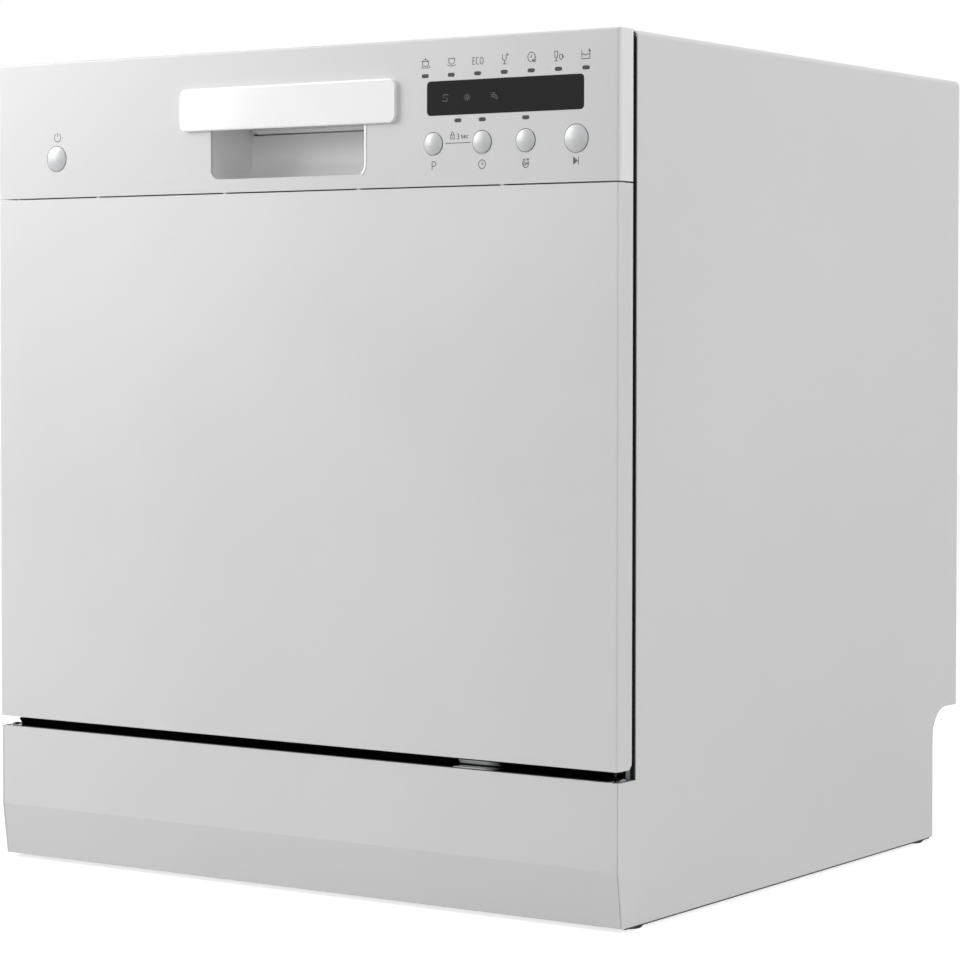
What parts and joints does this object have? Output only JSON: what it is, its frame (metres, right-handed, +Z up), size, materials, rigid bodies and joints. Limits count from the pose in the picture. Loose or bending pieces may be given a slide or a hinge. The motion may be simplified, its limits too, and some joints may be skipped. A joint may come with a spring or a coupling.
{
  "type": "countertop dishwasher",
  "caption": "White countertop dishwasher with a drop-down door, button console with a recessed grip, two wire baskets on wheels and rails, and turning spray arms.",
  "frame": {"origin": "middle of the footprint, on the worktop, at the bottom of the feet", "axes": "+X to the right as seen from the front, +Y to the back, +Z up; the door's front faces -Y"},
  "size_m": [0.55, 0.503, 0.595],
  "materials": {
    "white_paint": "smooth satin white powder coat",
    "zinc_paint": "plain grey-white back panel coat",
    "white_abs": "fine satin moulded ABS",
    "gloss_white": "polished white ABS",
    "pearl_button": "domed satin-pearl button caps",
    "smoked_window": "smoked acrylic",
    "smoked_lens": "smoked lens",
    "black_foam": "black foam strip",
    "black_gloss": "glossy black moulding",
    "black_plastic": "black polypropylene",
    "rubber": "matt rubber",
    "stainless": "brushed stainless sheet",
    "zinc_steel": "zinc plated steel",
    "basket_coat": "grey nylon coated wire",
    "grey_plastic": "grey polypropylene",
    "pale_plastic": "pale grey polypropylene",
    "roller_white": "white acetal",
    "rinse_blue": "blue-grey cap",
    "board_green": "lacquered circuit board"
  },
  "bodies": {
    "root": {"cabinet_wrap": "white_paint", "edge_strip": "black_foam", "rear_panel": "zinc_paint", "kick_plate": "white_paint", "sill_trim": "black_gloss", "base_tray": "black_plastic", "rubber_feet": "rubber", "tub_wrap": "stainless", "tub_back": "stainless", "tub_floor": "stainless", "tub_frame": "stainless", "door_seal": "rubber", "hinge_brackets": "zinc_steel", "door_springs": "zinc_steel", "roller_mounts": "pale_plastic", "sump": "black_plastic", "flat_filter": "stainless", "softener_tank": "pale_plastic", "circulation_pump": "black_plastic", "drain_pump": "pale_plastic", "flow_heater": "stainless", "inlet_valve": "pale_plastic", "drain_spigot": "pale_plastic", "sump_hoses": "rubber", "side_tank": "pale_plastic", "feed_duct": "grey_plastic"},
    "door": {"door_panel": "white_paint", "console": "white_abs", "handle_plate": "gloss_white", "door_liner": "stainless", "hinge_arms": "zinc_steel", "display_window": "smoked_window", "indicator_lenses": "smoked_lens", "control_board": "board_green", "dispenser_body": "pale_plastic"},
    "dispenser_lid": {"dispenser_lid": "grey_plastic"},
    "rinse_cap": {"rinse_cap": "rinse_blue"},
    "latch_lever": {"latch_lever": "white_abs"},
    "power_button": {"power_button": "pearl_button"},
    "program_button": {"program_button": "pearl_button"},
    "delay_button": {"delay_button": "pearl_button"},
    "function_button": {"function_button": "pearl_button"},
    "start_button": {"start_button": "pearl_button"},
    "upper_basket": {"upper_basket": "basket_coat", "upper_basket_rim": "basket_coat", "basket_rails": "zinc_steel"},
    "cup_shelf": {"cup_shelf": "basket_coat"},
    "upper_spray_arm": {"upper_spray_arm": "grey_plastic"},
    "front_rollers": {"front_rollers": "roller_white"},
    "rear_rollers": {"rear_rollers": "roller_white"},
    "lower_basket": {"lower_basket": "basket_coat", "lower_basket_rim": "basket_coat", "plate_tines": "basket_coat", "cutlery_basket": "grey_plastic"},
    "front_wheels": {"front_wheels": "roller_white"},
    "rear_wheels": {"rear_wheels": "roller_white"},
    "lower_spray_arm": {"lower_spray_arm": "grey_plastic"},
    "filter_cup": {"filter_cup": "grey_plastic"},
    "salt_cap": {"salt_cap": "grey_plastic"},
    "pump_rotor": {"pump_rotor": "roller_white"}
  },
  "joints": [
    {"name": "door_hinge", "type": "hinge", "parent": "root", "child": "door", "pos_m": [0, -0.2365, 0.0935], "axis": [1, 0, 0], "range_deg": [0, 90], "deforming": ["door_springs"]},
    {"name": "upper_basket_slide", "type": "slide", "parent": "root", "child": "upper_basket", "axis": [0, -1, 0], "range_m": [0, 0.32]},
    {"name": "lower_basket_slide", "type": "slide", "parent": "root", "child": "lower_basket", "axis": [0, -1, 0], "range_m": [0, 0.13]},
    {"name": "front_rollers_turn", "type": "hinge", "parent": "root", "child": "front_rollers", "pos_m": [0, -0.1735, 0.465], "axis": [1, 0, 0], "range_deg": [0, 2010]},
    {"name": "rear_rollers_turn", "type": "hinge", "parent": "root", "child": "rear_rollers", "pos_m": [0, -0.1215, 0.465], "axis": [1, 0, 0], "range_deg": [0, 2010]},
    {"name": "front_wheels_turn", "type": "hinge", "parent": "lower_basket", "child": "front_wheels", "pos_m": [0, -0.04491, 0.15135], "axis": [1, 0, 0], "range_deg": [0, 485]},
    {"name": "rear_wheels_turn", "type": "hinge", "parent": "lower_basket", "child": "rear_wheels", "pos_m": [0, 0.16228, 0.15135], "axis": [1, 0, 0], "range_deg": [0, 485]},
    {"name": "cup_shelf_fold", "type": "hinge", "parent": "upper_basket", "child": "cup_shelf", "pos_m": [-0.22, 0, 0.473], "axis": [0, -1, 0], "range_deg": [0, 85]},
    {"name": "lower_arm_spin", "type": "hinge", "parent": "root", "child": "lower_spray_arm", "pos_m": [0, 0.01925, 0.149], "axis": [0, 0, 1], "continuous": true},
    {"name": "upper_arm_spin", "type": "hinge", "parent": "upper_basket", "child": "upper_spray_arm", "pos_m": [0, 0.01925, 0.395], "axis": [0, 0, 1], "continuous": true},
    {"name": "filter_cup_twist", "type": "hinge", "parent": "root", "child": "filter_cup", "pos_m": [0.092, -0.07275, 0.136], "axis": [0, 0, 1], "range_deg": [0, 90]},
    {"name": "salt_cap_turn", "type": "hinge", "parent": "root", "child": "salt_cap", "pos_m": [-0.14, -0.04075, 0.136], "axis": [0, 0, 1], "range_deg": [0, 360]},
    {"name": "pump_spin", "type": "hinge", "parent": "root", "child": "pump_rotor", "pos_m": [0.04, 0.11425, 0.0485], "axis": [1, 0, 0], "continuous": true},
    {"name": "lid_swing", "type": "hinge", "parent": "door", "child": "dispenser_lid", "pos_m": [-0.097, -0.1886, 0.345], "axis": [0, 0, 1], "range_deg": [0, 100]},
    {"name": "rinse_cap_turn", "type": "hinge", "parent": "door", "child": "rinse_cap", "pos_m": [0.046, -0.1945, 0.367], "axis": [0, -1, 0], "range_deg": [0, 90]},
    {"name": "latch_pull", "type": "hinge", "parent": "door", "child": "latch_lever", "pos_m": [0, -0.203, 0.5626], "axis": [-1, 0, 0], "range_deg": [0, 12], "stiffness_Nm_per_rad": 0.8},
    {"name": "power_press", "type": "slide", "parent": "door", "child": "power_button", "axis": [0, 1, 0], "range_m": [0, 0.0012], "stiffness_N_per_m": 300},
    {"name": "program_press", "type": "slide", "parent": "door", "child": "program_button", "axis": [0, 1, 0], "range_m": [0, 0.0012], "stiffness_N_per_m": 300},
    {"name": "delay_press", "type": "slide", "parent": "door", "child": "delay_button", "axis": [0, 1, 0], "range_m": [0, 0.0012], "stiffness_N_per_m": 300},
    {"name": "function_press", "type": "slide", "parent": "door", "child": "function_button", "axis": [0, 1, 0], "range_m": [0, 0.0012], "stiffness_N_per_m": 300},
    {"name": "start_press", "type": "slide", "parent": "door", "child": "start_button", "axis": [0, 1, 0], "range_m": [0, 0.0012], "stiffness_N_per_m": 300}
  ],
  "couplings": [
    {"joint": "upper_basket_slide", "follows": "door_hinge", "m_per_rad": 0.2},
    {"joint": "lower_basket_slide", "follows": "door_hinge", "m_per_rad": 0.08},
    {"joint": "front_rollers_turn", "follows": "door_hinge", "ratio": 22.222},
    {"joint": "rear_rollers_turn", "follows": "door_hinge", "ratio": 22.222},
    {"joint": "front_wheels_turn", "follows": "door_hinge", "ratio": 5.3333},
    {"joint": "rear_wheels_turn", "follows": "door_hinge", "ratio": 5.3333}
  ]
}
